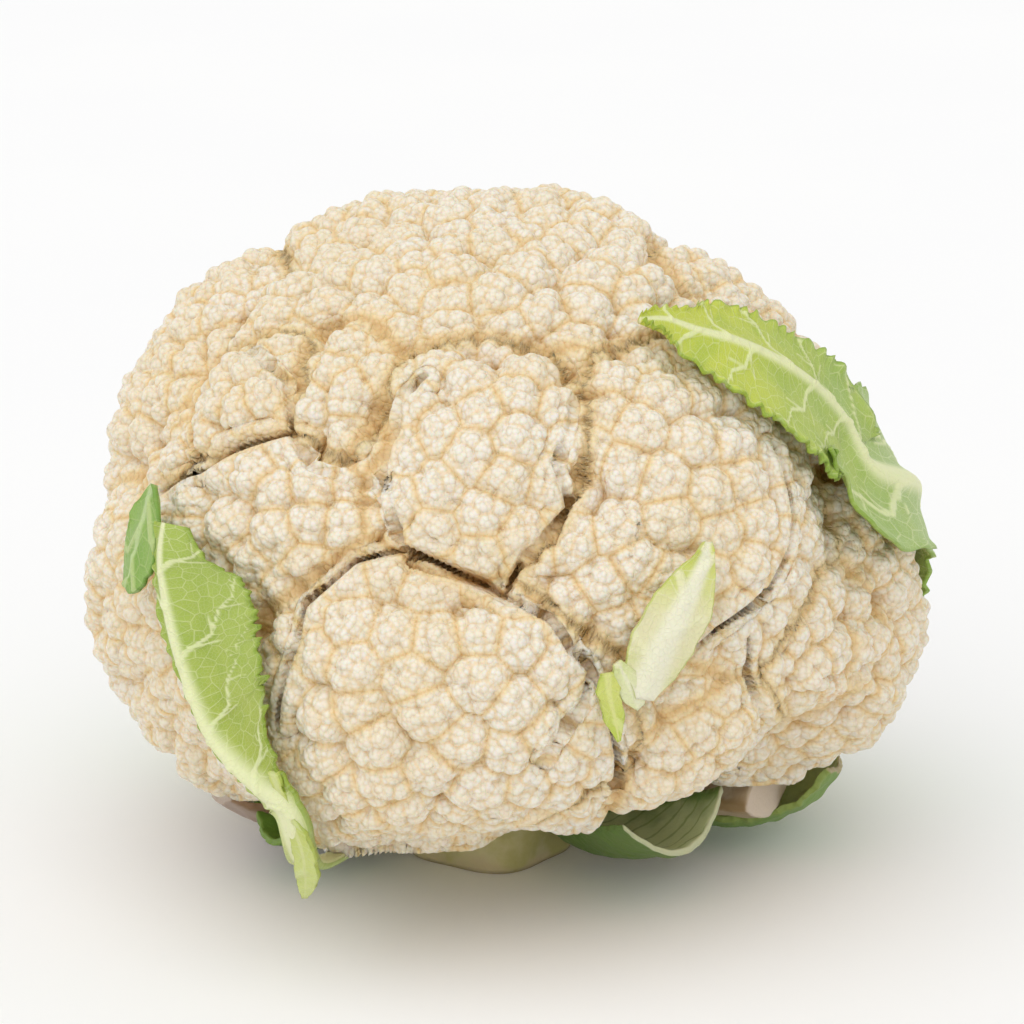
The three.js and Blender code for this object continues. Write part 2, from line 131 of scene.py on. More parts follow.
CRACKS = [  # rows of places, across and up, where large florets part, with the depth there
    # under and right of the middle floret
    [(-26, 25.8, 2), (-23, 11.8, 3), (-18.7, 10, 5), (-11.2, 6.4, 7), (-5, 3.5, 9), (-0.4, 0.6, 7),
     (2.8, 8.6, 2), (9.2, 15, 2), (13.5, 20.4, 3), (10.3, 29, 3), (13.5, 37, 2), (14.6, 43, 2)],
    # under the one left of it
    [(-23, 11.2, 4), (-33.7, 8.6, 6), (-39, 3.2, 5), (-43.3, -1.1, 4), (-43.8, -8.6, 3), (-46.6, -17.2, 4),
     (-48, -25.8, 5)],
    # under and right of the upper left ones
    [(-78.8, 23.6, 3), (-64.8, 27.9, 5), (-58.4, 32.2, 5), (-46.6, 36, 3), (-46.6, 46.1, 3), (-54, 52.6, 3)],
    # round the one between
    [(-46.6, 36, 3), (-42.3, 28.3, 3), (-34.8, 26.8, 2), (-28.3, 24.7, 2), (-25.1, 34.3, 2), (-23, 42.9, 2),
     (-17.6, 47.6, 4)],
    # right of the large right one
    [(55.4, 32.2, 4), (59.2, 17.2, 4), (58.6, 10.7, 5), (54.3, 2.1, 4), (44.6, -6.4, 5), (39.3, -12.9, 4),
     (30, -18, 4)],
    # round the front floret and right of the one beside it
    [(-0.4, 0.6, 6), (2.8, -1, 3), (9.2, -4.3, 3), (13.5, -10.7, 3), (17.5, -15, 4), (15.7, -21.5, 3),
     (10.3, -29, 2), (8.2, -33.3, 2), (2.8, -40.8, 2), (-2, -44, 3)],
    [(17.5, -15, 4), (21, -21.5, 5), (24.2, -34.3, 4), (24.2, -43, 3)],
    # lower right
    [(52, -8, 4), (55.4, -21.5, 3), (58.6, -34, 2)],
]
CRACK_WIDTH, CRACK_SHARE = 1.2, 0.75  # and how much of the depth listed above is cut
CREASE = dict(depth=1.4, width=1.4)  # between florets that are pressed together
GROWN = 4.0  # how softly florets that have grown together run into each other
FLOOR_DEPTH, FLOOR_BLEND = 3.2, 4.0  # of the closed surface that the florets branch from
UNDERSIDE = 19.6  # its height over the ground round the stem
RISE = 1.2  # of the tops of the buds over the level of the florets
SEAT = 0.45  # how far out in a floret its width is measured, as a share of its radius
HIDDEN_BUNCH, FILLER_BUNCH = 1000, 5000  # first numbers of the bunches that aren't listed
LOBES = dict(apart=8.0, radius=8.8, share=1.0, uneven=0.5)
CLUSTERS = dict(apart=3.5, radius=3.7, share=1.1, uneven=0.35)
BUDS = dict(apart=1.5, radius=1.65, share=0.3, uneven=0.05)
LOWEST = 0.4  # level of the creases among lobes, clusters and buds, as a share of their radius
BASE_SPLITS, FRONT_CUTS, BACK_CUTS, UNDER_CUTS = 6, 6, 4, 2  # how the surface is split for its buds
LONGEST = 0.012  # edge of the split surface, as a share of the head's radius
SMALL_EDGE = 0.03  # under which an edge isn't split any further
UNDER_Z, UNDER_EDGE, STEEP_Z = -0.78, 0.05, -0.5  # where the plain underside and the slope to it begin
CALM_BELOW, CALM_SLOPE = (-0.84, -0.72), (0.45, 0.8)  # lobes and buds fade out below and on sheer sides
LOBE_ROOM, CLUSTER_ROOM = 0.8, 0.3  # they keep this far from where two florets meet
CREASE_SHADE_DEPTHS = dict(cluster=0.8, lobe=1.8, floret=2.0, bud=0.6, crevice=12)  # at which the painted shade of a crease is darkest


def draw(k, n):
    """A repeatable number from 0 to 1 for the n-th draw of thing k."""
    value = math.sin(k * 12.9898 + n * 78.233) * 43758.5453
    return value - math.floor(value)


def form_halves(depth, below):
    return np.array([HALF_SIDE - depth, HALF_DEPTH - depth, (HALF_DOWN if below else HALF_UP) - depth])


def meet_form(across, up, depth):
    """Where a line of sight first meets the smooth form made smaller by some depth, or is nearest to it."""
    sight = ACROSS * across + UPWARD * up - EYE
    sight = sight / np.linalg.norm(sight)
    for below in (False, True):
        halves = form_halves(depth, below)
        start, along = EYE / halves, sight / halves
        a, b = along @ along, start @ along
        root = b * b - a * (start @ start - 1)
        place = EYE + sight * ((-b - math.sqrt(max(root, 0))) / a)
        if (place[2] < 0) == below:
            break
    return place


def spread_directions(count):
    """Directions spread evenly over a ball, as seeds are on a flower head."""
    k = np.arange(count)
    z = 1 - 2 * (k + 0.5) / count
    level = np.sqrt(1 - z * z)
    angle = k * GOLDEN_ANGLE
    return np.stack([level * np.cos(angle), level * np.sin(angle), z], axis=1)


def smooth(low, high, value):
    share = np.clip((value - low) / (high - low), 0, 1)
    return share * share * (3 - 2 * share)


def unit(vectors):
    return vectors / np.linalg.norm(vectors, axis=-1, keepdims=True)


def flattening(directions, places=FLATTER):
    return sum(depth * smooth(1 - reach, 1, directions @ unit(towards)) for towards, depth, reach in places)


def place_florets():
    """The middle of each floret, its radius, and the number of the bunch that it has grown together with."""
    placed = [(meet_form(across, up, radius - proud), radius, bunch)
              for bunch, row in enumerate(FRONT_FLORETS) for across, up, radius, proud in row]
    listed = len(placed)
    rule = HIDDEN_FLORETS
    for k, direction in enumerate(spread_directions(rule["spread"])):
        if direction[2] < rule["lowest"]:
            continue
        radius = rule["least"] + (rule["most"] - rule["least"]) * draw(k, 1)
        middle = direction * form_halves(radius, direction[2] < 0)
        shares = [np.linalg.norm(middle - other) / (radius + size) for other, size, _ in placed]
        if min(shares) < rule["room"]:
            continue
        stand = -rule["recess"] if min(shares[:listed]) < 1 else rule["proud"] * draw(k, 2)
        nearest = int(np.argmin(shares))
        bunch = placed[nearest][2] if nearest >= listed and draw(k, 3) < rule["joined"] else k + HIDDEN_BUNCH
        placed.append((middle + direction * (stand - flattening(direction)), radius, bunch))
    return placed


def form_radius(directions, depth):
    """Distance from the middle of the head to the smooth form made smaller by some depth."""
    halves = np.where(directions[:, 2:] < 0, form_halves(depth, True), form_halves(depth, False))
    return 1 / np.linalg.norm(directions / halves, axis=1) - flattening(directions)


def smooth_most(a, b, width):
    """The greater of two numbers, rounded off where they are about as large."""
    near = np.maximum(width - np.abs(a - b), 0) / width
    return np.maximum(a, b) + near * near * width / 4


def head_levels(directions):
    """Distance from the head's middle to its florets, the bunch met there, and how far others lie under."""
    best, second = (np.full(len(directions), -1e3) for _ in range(2))
    bunch_met = np.full(len(directions), -1)
    for bunch in sorted({bunch for _, _, bunch in florets}):
        level = np.full(len(directions), -1e3)
        for middle, radius, own in florets:
            if own != bunch:
                continue
            far = np.linalg.norm(middle)
            turn = np.arccos(np.clip(directions @ (middle / far), -1, 1))
            share = turn * (far + SEAT * radius) / (REACH * radius)
            fall = share ** 2 + STEEP * np.maximum(share - 1, 0) ** 2
            height = far + radius * (1 - BULGE * fall)
            level = np.where(level > 0, smooth_most(level, height, GROWN), height)
        second = np.maximum(second, np.minimum(best, level))
        bunch_met = np.where(level > best, bunch, bunch_met)
        best = np.maximum(best, level)
    gap = best - second
    best = best - CREASE["depth"] * np.exp(-gap / CREASE["width"])
    best = smooth_most(best, form_radius(directions, FLOOR_DEPTH), FLOOR_BLEND)
    best -= flattening(directions, SLIMMER)
    steep = directions[:, 2] < STEEP_Z
    best[steep] = np.minimum(best[steep], (HEAD_MIDDLE[2] - UNDERSIDE) / -directions[steep, 2] - RISE)
    bunch_met[directions[:, 2] < UNDER_Z - UNDER_EDGE] = -1
    return best, bunch_met, gap


def head_radius(directions):
    return head_levels(directions)[0] + RISE


def crack_depth(points):
    """How deep the cracks between large florets go at places on the head."""
    depth = np.zeros(len(points))
    for row in CRACKS:
        line = np.array([meet_form(across, up, 0) for across, up, _ in row])
        for start, end, (_, _, first), (_, _, last) in zip(line, line[1:], row, row[1:]):
            run = end - start
            share = np.clip((points - start) @ run / (run @ run), 0, 1)
            nearest = start + share[:, None] * run
            nearest *= (np.linalg.norm(points, axis=1) / np.linalg.norm(nearest, axis=1))[:, None]
            distance = np.linalg.norm(points - nearest, axis=1)
            cut = CRACK_SHARE * (first + (last - first) * share)
            depth = np.maximum(depth, cut * np.exp(-(distance / CRACK_WIDTH) ** 1.5))
    return depth


def fill_hollows():
    """Small florets where the large ones leave a hollow between them."""
    rule = FILLERS
    directions = spread_directions(rule["spread"])
    directions = directions[directions[:, 2] > HIDDEN_FLORETS["lowest"] + 0.2]
    levels = form_radius(directions, 0)
    depths = levels - head_levels(directions)[0]
    placed = []
    for k in np.argsort(-depths):
        if depths[k] < rule["depth"]:
            break
        radius = rule["radius"] * (0.85 + 0.3 * draw(k, 4))
        middle = directions[k] * (levels[k] - rule["below"] - radius)
        if all(np.linalg.norm(middle - other) > rule["spacing"] for other, _, _ in placed):
            placed.append((middle, radius, FILLER_BUNCH + int(k)))
    return placed


florets = place_florets()
florets += fill_hollows()

# The head with its crevices closed, on a grid of rises and bearings, to tell how deep a place lies in one
RISES, BEARINGS = 120, 240
rise, bearing = np.meshgrid((np.arange(RISES) + 0.5) * math.pi / RISES - math.pi / 2,
                            np.arange(BEARINGS) * 2 * math.pi / BEARINGS, indexing="ij")
closed = head_radius(np.stack([np.cos(rise) * np.cos(bearing), np.cos(rise) * np.sin(bearing), np.sin(rise)],
                              axis=-1).reshape(-1, 3)).reshape(RISES, BEARINGS)


def over_neighbours(pick, grid, steps):
    for _ in range(steps):
        rows = np.pad(grid, ((1, 1), (0, 0)), mode="edge")
        grid = pick.reduce([rows[:-2], rows[2:], grid, np.roll(grid, 1, axis=1), np.roll(grid, -1, axis=1)])
    return grid


closed = over_neighbours(np.maximum, closed, 4)
closed = over_neighbours(np.minimum, closed, 3)
for _ in range(4):
    rows = np.pad(closed, ((1, 1), (0, 0)), mode="edge")
    closed = (rows[:-2] + rows[2:] + np.roll(closed, 1, axis=1) + np.roll(closed, -1, axis=1)) / 4


def depth_at(points):
    """How deep each place lies under the head with its crevices closed."""
    far = np.linalg.norm(points, axis=1)
    row = (np.arcsin(points[:, 2] / far) / math.pi + 0.5) * RISES - 0.5
    column = np.arctan2(points[:, 1], points[:, 0]) % (2 * math.pi) / (2 * math.pi) * BEARINGS
    low_row, low_column = np.clip(row.astype(int), 0, RISES - 2), column.astype(int) % BEARINGS
    v, u = np.clip(row - low_row, 0, 1), column - np.floor(column)
    next_column = (low_column + 1) % BEARINGS
    lower = closed[low_row, low_column] * (1 - u) + closed[low_row, next_column] * u
    upper = closed[low_row + 1, low_column] * (1 - u) + closed[low_row + 1, next_column] * u
    return lower * (1 - v) + upper * v - far


def mesh_from(bm, name):
    mesh = bpy.data.meshes.new(name)
    bm.to_mesh(mesh)
    bm.free()
    return mesh


def head_mesh():
    """A ball whose faces are split finely at the front, less so behind, and coarsely underneath."""
    bm = bmesh.new()
    bmesh.ops.create_icosphere(bm, subdivisions=BASE_SPLITS, radius=1.0)
    groups = {FRONT_CUTS: [], BACK_CUTS: [], UNDER_CUTS: []}
    for face in bm.faces:
        middle = face.calc_center_median()
        cuts = FRONT_CUTS if middle @ Vector(TOWARD) > 0.02 else BACK_CUTS
        if middle.z < UNDER_Z:
            cuts = UNDER_CUTS
        groups[cuts].append(face)
    for cuts, faces in groups.items():
        split = {edge for face in faces if face.is_valid for edge in face.edges
                 if edge.calc_length() > SMALL_EDGE}
        bmesh.ops.subdivide_edges(bm, edges=list(split), cuts=cuts, use_grid_fill=True)
    bmesh.ops.triangulate(bm, faces=[face for face in bm.faces if len(face.verts) > 3])
    for _ in range(2):  # between the fine and the less fine
        long = [edge for edge in bm.edges if edge.calc_length() > LONGEST and edge.verts[0].co.z > UNDER_Z]
        bmesh.ops.subdivide_edges(bm, edges=long, cuts=1)
        bmesh.ops.triangulate(bm, faces=[face for face in bm.faces if len(face.verts) > 3])
    return mesh_from(bm, "curd")


def seats_on(points, allowed, apart, seed):
    """Places crowded over a surface at random, no two nearer than some distance apart."""
    tree = KDTree(len(points))
    for k, point in enumerate(points):
        tree.insert(point, k)
    tree.balance()
    covered = bytearray(len(points))
    chosen = []
    for k in np.random.default_rng(seed).permutation(np.flatnonzero(allowed)):
        if not covered[k]:
            chosen.append(k)
            for _, other, _ in tree.find_range(points[k], apart):
                covered[other] = 1
    return np.array(chosen)


def domes(points, allowed, kind, seed):
    """Height of the domes crowded over a surface, at or under 0, and how far the next dome lies under."""
    seats = seats_on(points, allowed, kind["apart"], seed)
    tree = KDTree(len(seats))
    for k, seat in enumerate(seats):
        tree.insert(points[seat], k)
    tree.balance()
    lift = kind["uneven"] * np.random.default_rng(seed + 1).uniform(-1, 1, len(seats))
    found = [tree.find_n(point, 4) for point in points]
    near = np.array([[item[1] for item in row] for row in found])
    distance = np.array([[item[2] for item in row] for row in found])
    round_part = np.sqrt(np.maximum(kind["radius"] ** 2 - distance ** 2, (LOWEST * kind["radius"]) ** 2))
    heights = round_part - kind["radius"] + lift[near]
    heights.sort(axis=1)
    return kind["share"] * heights[:, -1], heights[:, -1] - heights[:, -2]


def places_of(mesh):
    places = np.empty(len(mesh.vertices) * 3, np.float32)
    mesh.vertices.foreach_get("co", places)
    return places.reshape(-1, 3)


def normals_of(mesh, points):
    mesh.vertices.foreach_set("co", points.astype(np.float32).ravel())
    mesh.update()
    normals = np.empty(len(mesh.vertices) * 3, np.float32)
    mesh.vertices.foreach_get("normal", normals)
    return normals.reshape(-1, 3)


whole = head_mesh()
directions = unit(places_of(whole).astype(float))
base_level, bunch_met, gap = head_levels(directions)
base = directions * (base_level + RISE)[:, None]
crack = crack_depth(base)
base -= directions * crack[:, None]
upright = (normals_of(whole, base) * directions).sum(axis=1)
calm = smooth(*CALM_BELOW, directions[:, 2]) * smooth(*CALM_SLOPE, upright)
lobe_height, lobe_gap = domes(base, gap > LOBE_ROOM, LOBES, 1)
cluster_height, cluster_gap = domes(base, gap > CLUSTER_ROOM, CLUSTERS, 3)
heaped = base + normals_of(whole, base) * ((lobe_height + cluster_height) * calm)[:, None]
bud_height, _ = domes(heaped, gap > 0, BUDS, 5)
points = heaped + normals_of(whole, heaped) * (bud_height * calm)[:, None]
# Masks for the painted shade: creases among clusters, lobes and florets, and crevices by how deep they lie
# under the closed head
crease_shade = np.minimum.reduce([np.clip(cluster_gap / CREASE_SHADE_DEPTHS["cluster"], 0.4, 1),
                            np.clip(lobe_gap / CREASE_SHADE_DEPTHS["lobe"], 0, 1), gap / CREASE_SHADE_DEPTHS["floret"]])
relief_shade = np.stack([np.clip(1 + bud_height / CREASE_SHADE_DEPTHS["bud"], 0, 1), np.clip(crease_shade, 0, 1),
                   np.clip(depth_at(points) / CREASE_SHADE_DEPTHS["crevice"], 0, 1)], axis=1)
whole.vertices.foreach_set("co", ((HEAD_MIDDLE + points) * MM).astype(np.float32).ravel())
relief_shade_layer = whole.attributes.new("relief_shade", "FLOAT_VECTOR", "POINT")
relief_shade_layer.data.foreach_set("vector", relief_shade.astype(np.float32).ravel())
SIDES = ["right", "back_right", "back_left", "left", "front_left", "front_right"]


def region_of(direction):
    if direction[2] > 0.72:
        return "crown"
    if direction[2] < -0.6:
        return "underside"
    bearing = math.degrees(math.atan2(direction[1], direction[0])) % 360
    return SIDES[int((bearing + 30) % 360 // 60)]


def add_piece(name, mesh, node):
    piece = bpy.data.objects.new(name, mesh)
    bpy.context.scene.collection.objects.link(piece)
    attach(piece, "root")
    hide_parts(node)
    return piece


def cut_out(region, bunches):
    """The florets of one side of the head, as a closed wedge that reaches to its middle."""
    bm = bmesh.new()
    bm.from_mesh(whole)
    own = np.isin(bunch_met, bunches)
    bmesh.ops.delete(bm, geom=[face for face in bm.faces if not own[face.verts[0].index]], context="FACES")
    rim = bmesh.ops.extrude_edge_only(bm, edges=[edge for edge in bm.edges if edge.is_boundary])["geom"]
    inner = [item for item in rim if isinstance(item, bmesh.types.BMVert)]
    bmesh.ops.pointmerge(bm, verts=inner, merge_co=Vector(HEAD_MIDDLE * MM))
    for face in bm.faces:
        face.smooth = True
    for edge in rim:
        if isinstance(edge, bmesh.types.BMEdge) and edge.is_valid:
            edge.smooth = False
    bmesh.ops.recalc_face_normals(bm, faces=bm.faces[:])
    return add_piece("curd_" + region, mesh_from(bm, "curd_" + region), "curd")


regions = {"underside": [-1]}
for bunch in sorted({bunch for _, _, bunch in florets}):
    lead = np.mean([middle for middle, _, own in florets if own == bunch], axis=0)
    regions.setdefault(region_of(unit(lead)), []).append(bunch)
curd_pieces = [cut_out(region, bunches) for region, bunches in regions.items()]
bpy.data.meshes.remove(whole)


class Value:
    """A number that varies over a surface, for shader maths written as expressions."""

    def __init__(self, tree, socket):
        self.tree, self.socket = tree, socket

    def math(self, operation, *terms):
        node = self.tree.nodes.new("ShaderNodeMath")
        node.operation = operation
        for term, entry in zip(terms, node.inputs):
            if isinstance(term, Value):
                self.tree.links.new(term.socket, entry)
            else:
                entry.default_value = term
        return Value(self.tree, node.outputs[0])

    def __add__(self, other):
        return self.math("ADD", self, other)

    def __sub__(self, other):
        return self.math("SUBTRACT", self, other)

    def __rsub__(self, other):
        return self.math("SUBTRACT", other, self)

    def __mul__(self, other):
        return self.math("MULTIPLY", self, other)

    def __truediv__(self, other):
        return self.math("DIVIDE", self, other)

    __radd__, __rmul__ = __add__, __mul__

    def step(self, low, high):
        """A smooth rise from 0 to 1 between two values, or a fall where the first is the higher."""
        node = self.tree.nodes.new("ShaderNodeMapRange")
        node.interpolation_type = "SMOOTHSTEP"
        self.tree.links.new(self.socket, node.inputs["Value"])
        node.inputs["From Min"].default_value = min(low, high)
        node.inputs["From Max"].default_value = max(low, high)
        if low > high:
            node.inputs["To Min"].default_value, node.inputs["To Max"].default_value = 1.0, 0.0
        return Value(self.tree, node.outputs["Result"])


class Finish:
    """A material being made. Numbers that are the same all over are set on the shader itself."""

    def __init__(self, name, **constants):
        self.material = bpy.data.materials.new(name)
        self.material.use_nodes = True
        self.tree = self.material.node_tree
        self.shader = self.tree.nodes["Principled BSDF"]
        for key, value in constants.items():
            self.shader.inputs[key.replace("_", " ")].default_value = value

    def node(self, kind, settings=None, output=0, **inputs):
        """Any node but maths, by its type, settings, and the values or links of its inputs."""
        node = self.tree.nodes.new("ShaderNode" + kind)
        for key, value in (settings or {}).items():
            setattr(node, key, value)
        for key, value in inputs.items():
            entry = node.inputs[key.replace("_", " ")]
            if isinstance(value, Value):
                self.tree.links.new(value.socket, entry)
            else:
                entry.default_value = value
        return Value(self.tree, node.outputs[output])

    def mix(self, share, under, over):
        """One colour laid over another by a share."""
        node = self.tree.nodes.new("ShaderNodeMix")
        node.data_type = "RGBA"
        for value, entry in ((share, node.inputs[0]), (under, node.inputs[6]), (over, node.inputs[7])):
            if isinstance(value, Value):
                self.tree.links.new(value.socket, entry)
            else:
                entry.default_value = value if isinstance(value, float) else (*value, 1)
        return Value(self.tree, node.outputs[2])

    def math(self, operation, *terms):
        return Value(self.tree, None).math(operation, *terms)

    def place(self):
        return self.node("TexCoord", output=3)

    def attribute(self, name):
        """The three numbers of a vertex attribute."""
        vector = self.node("Attribute", {"attribute_name": name}, output=1)
        parts = self.tree.nodes.new("ShaderNodeSeparateXYZ")
        self.tree.links.new(vector.socket, parts.inputs[0])
        return [Value(self.tree, socket) for socket in parts.outputs]

    def noise(self, scale, detail=3.0):
        return self.node("TexNoise", Vector=self.place(), Scale=scale, Detail=detail)

    def feed(self, **links):
        for key, value in links.items():
            self.tree.links.new(value.socket, self.shader.inputs[key.replace("_", " ")])
        return self.material


def curd_finish():
    finish = Finish("curd", Roughness=0.5, Subsurface_Weight=0.3, Subsurface_Scale=0.003,
                    Subsurface_Radius=(1.0, 0.6, 0.3), Specular_IOR_Level=0.3)
    _, cluster, depth = finish.attribute("relief_shade")
    colour = finish.mix(finish.noise(38.0, 4.0).step(0.4, 0.65), (0.85, 0.77, 0.62), (0.87, 0.82, 0.72))
    cells = finish.node("TexVoronoi", {"feature": "F1"}, Vector=finish.place(), Scale=820.0)
    pearl = cells * cells
    # Painted warm shade in the creases between buds; the same cells also give the buds their bump
    colour = finish.mix(pearl.step(0.1, 0.45) * 0.3, colour, (0.84, 0.64, 0.34))
    # Painted warm shade in the creases between clusters, and deeper brown shade where lobes and florets meet
    colour = finish.mix(cluster.step(0.85, 0.15) * 0.65, colour, (0.84, 0.61, 0.27))
    colour = finish.mix(cluster.step(0.25, 0.0) * 0.5, colour, (0.68, 0.40, 0.12))
    spots = finish.noise(55.0, 2.0).step(0.66, 0.74) * finish.noise(900.0, 2.0).step(0.5, 0.62)
    colour = finish.mix(spots * 0.5, colour, (0.68, 0.40, 0.16))
    # Painted dark shade in the deep crevices and the hollow core of the head
    colour = finish.mix(depth.step(0.25, 0.85) * 0.9, colour, (0.52, 0.26, 0.06))
    bump = finish.node("Bump", Strength=1.0, Distance=0.0006, Height=pearl * -1.0)
    return finish.feed(Base_Color=colour, Normal=bump)


curd_material = curd_finish()
for piece in curd_pieces:
    piece.data.materials.append(curd_material)


# Leaves that lie against the head
# Each follows the florets under it from a thick stalk at the stem, with a rounded midrib, veins that fork
# towards a toothed edge, and a net of finer ones. They are drawn taut over the lumps that they lie on.
GAP = 0.9  # between the florets and a leaf
LEAF_OUT = 3.5  # how far out from the smooth form the places of a leaf are sighted
BLADE = 1.0  # thickness
RIB_HALF = 3.2  # half width of a midrib
LEAF_REACH = 88.0  # from the middle of the head, where the width of a leaf is measured
BRIDGE, BRIDGE_SLACK = 0.07, 0.6  # how far it spans from lump to lump, as a share, and sinks in between
TEETH = (6.1, 0.6), (2.3, 0.4)  # pitch and size of the coarse and the fine teeth
WAVE_STEP = 1.1  # from one row of the net to the next, of the waves along an edge
FINER = 2  # rows and columns of the net that is drawn taut, for one of the listed ones


def seen(across, up, out=LEAF_OUT):
    """Direction from the middle of the head to a place of the front, some way out from the smooth form."""
    place = meet_form(across, up, -out)
    return place / np.linalg.norm(place)


def around(bearing, rise):
    """Direction by its bearing, 0 at the right and 90 at the back, and its angle above the level."""
    turn, lift = math.radians(bearing), math.radians(rise)
    return np.array([math.cos(lift) * math.cos(turn), math.cos(lift) * math.sin(turn), math.sin(lift)])


def lowest_radius(directions):
    """How far a leaf may reach under the head, so that it stays against its flat underside."""
    return (HEAD_MIDDLE[2] - UNDERSIDE + 0.5) / np.maximum(-directions[..., 2], 0.1)


def bridged_radius(directions):
    """The head's surface with its crevices bridged."""
    level = unit(np.stack([-directions[:, 1], directions[:, 0], np.zeros(len(directions))], axis=1))
    steep = np.cross(directions, level)
    far = head_radius(directions)
    for k in range(6):
        turn = k * math.pi / 3
        beside = directions + level * BRIDGE * math.cos(turn) + steep * BRIDGE * math.sin(turn)
        far = np.maximum(far, head_radius(unit(beside)) - BRIDGE_SLACK)
    return np.minimum(far, lowest_radius(directions))


def curve_through(places, shares):
    """Places along a smooth curve through some places, at shares of its length in spans."""
    places = np.array(places, float)
    ends = np.concatenate([[2 * places[0] - places[1]], places, [2 * places[-1] - places[-2]]])
    last = len(places) - 1
    span = np.minimum((shares * last).astype(int), last - 1)
    t = (shares * last - span)[:, None]
    p0, p1, p2, p3 = (ends[span + n] for n in range(4))
    spans = (p0, p1), (p1, p2), (p2, p3)
    d0, d1, d2 = (np.linalg.norm(b - a, axis=1, keepdims=True) ** 0.5 for a, b in spans)
    d0, d1, d2 = (np.where(d < 1e-3, 1.0, d) for d in (d0, d1, d2))
    m1 = ((p1 - p0) / d0 - (p2 - p0) / (d0 + d1) + (p2 - p1) / d1) * d1
    m2 = ((p2 - p1) / d1 - (p3 - p1) / (d1 + d2) + (p3 - p2) / d2) * d1
    return p1 + m1 * t + (3 * (p2 - p1) - 2 * m1 - m2) * t ** 2 + (2 * (p1 - p2) + m1 + m2) * t ** 3


def vein_lines(length, spacing, generator):
    """Side veins and their forks, as (start, end, width) in millimetres along and across the leaf."""
    lines = []
    along, side = spacing * 0.4, 1
    while along < length * 0.95:
        place, heading = np.array([along, 0.0]), math.radians(generator.uniform(42, 60))
        width = 1.15
        for joint in range(6):
            turn = heading + math.radians(generator.uniform(10, 26)) * (1 if joint % 2 else -1)
            step = generator.uniform(4.5, 7.5)
            end = place + step * np.array([math.cos(turn), side * math.sin(turn)])
            lines.append((place, end, width))
            fork = heading + math.radians(generator.uniform(35, 60)) * (-1 if joint % 2 else 1)
            tip = end + generator.uniform(5, 9) * np.array([math.cos(fork), side * math.sin(fork)])
            lines.append((end, tip, width * 0.55))
            place, heading, width = end, heading - math.radians(4), width * 0.84
        along += spacing * generator.uniform(0.4, 0.62)
        side = -side
    return lines


def vein_strength(places, lines):
    strength = np.zeros(len(places))
    for start, end, width in lines:
        run = end - start
        share = np.clip((places - start) @ run / (run @ run), 0, 1)
        distance = np.linalg.norm(places - start - share[:, None] * run, axis=1)
        strength = np.maximum(strength, smooth(-1.0, -0.25, -distance / width) * min(1, 0.45 + width * 0.5))
    return strength


def skin_mesh(name, outer, inner, values):
    """A closed thin body from the grids of its outer and inner faces, with named values at each place."""
    rows, columns = outer.shape[0] - 1, outer.shape[1] - 1
    bm = bmesh.new()
    layers = [bm.verts.layers.float_vector.new(key) for key in values]
    bmesh.ops.create_grid(bm, x_segments=rows, y_segments=columns, size=1.0)
    back = bmesh.ops.duplicate(bm, geom=bm.verts[:] + bm.edges[:] + bm.faces[:])["geom"]
    behind = {item for item in back if isinstance(item, bmesh.types.BMVert)}
    for vert in bm.verts:
        i, j = round((vert.co.x + 1) / 2 * rows), round((vert.co.y + 1) / 2 * columns)
        for layer, grid in zip(layers, values.values()):
            vert[layer] = grid[i, j]
        vert.co = (inner if vert in behind else outer)[i, j] * MM
    bmesh.ops.bridge_loops(bm, edges=[edge for edge in bm.edges if edge.is_boundary])
    bmesh.ops.recalc_face_normals(bm, faces=bm.faces[:])
    mesh = mesh_from(bm, name)
    mesh.shade_smooth()
    return mesh


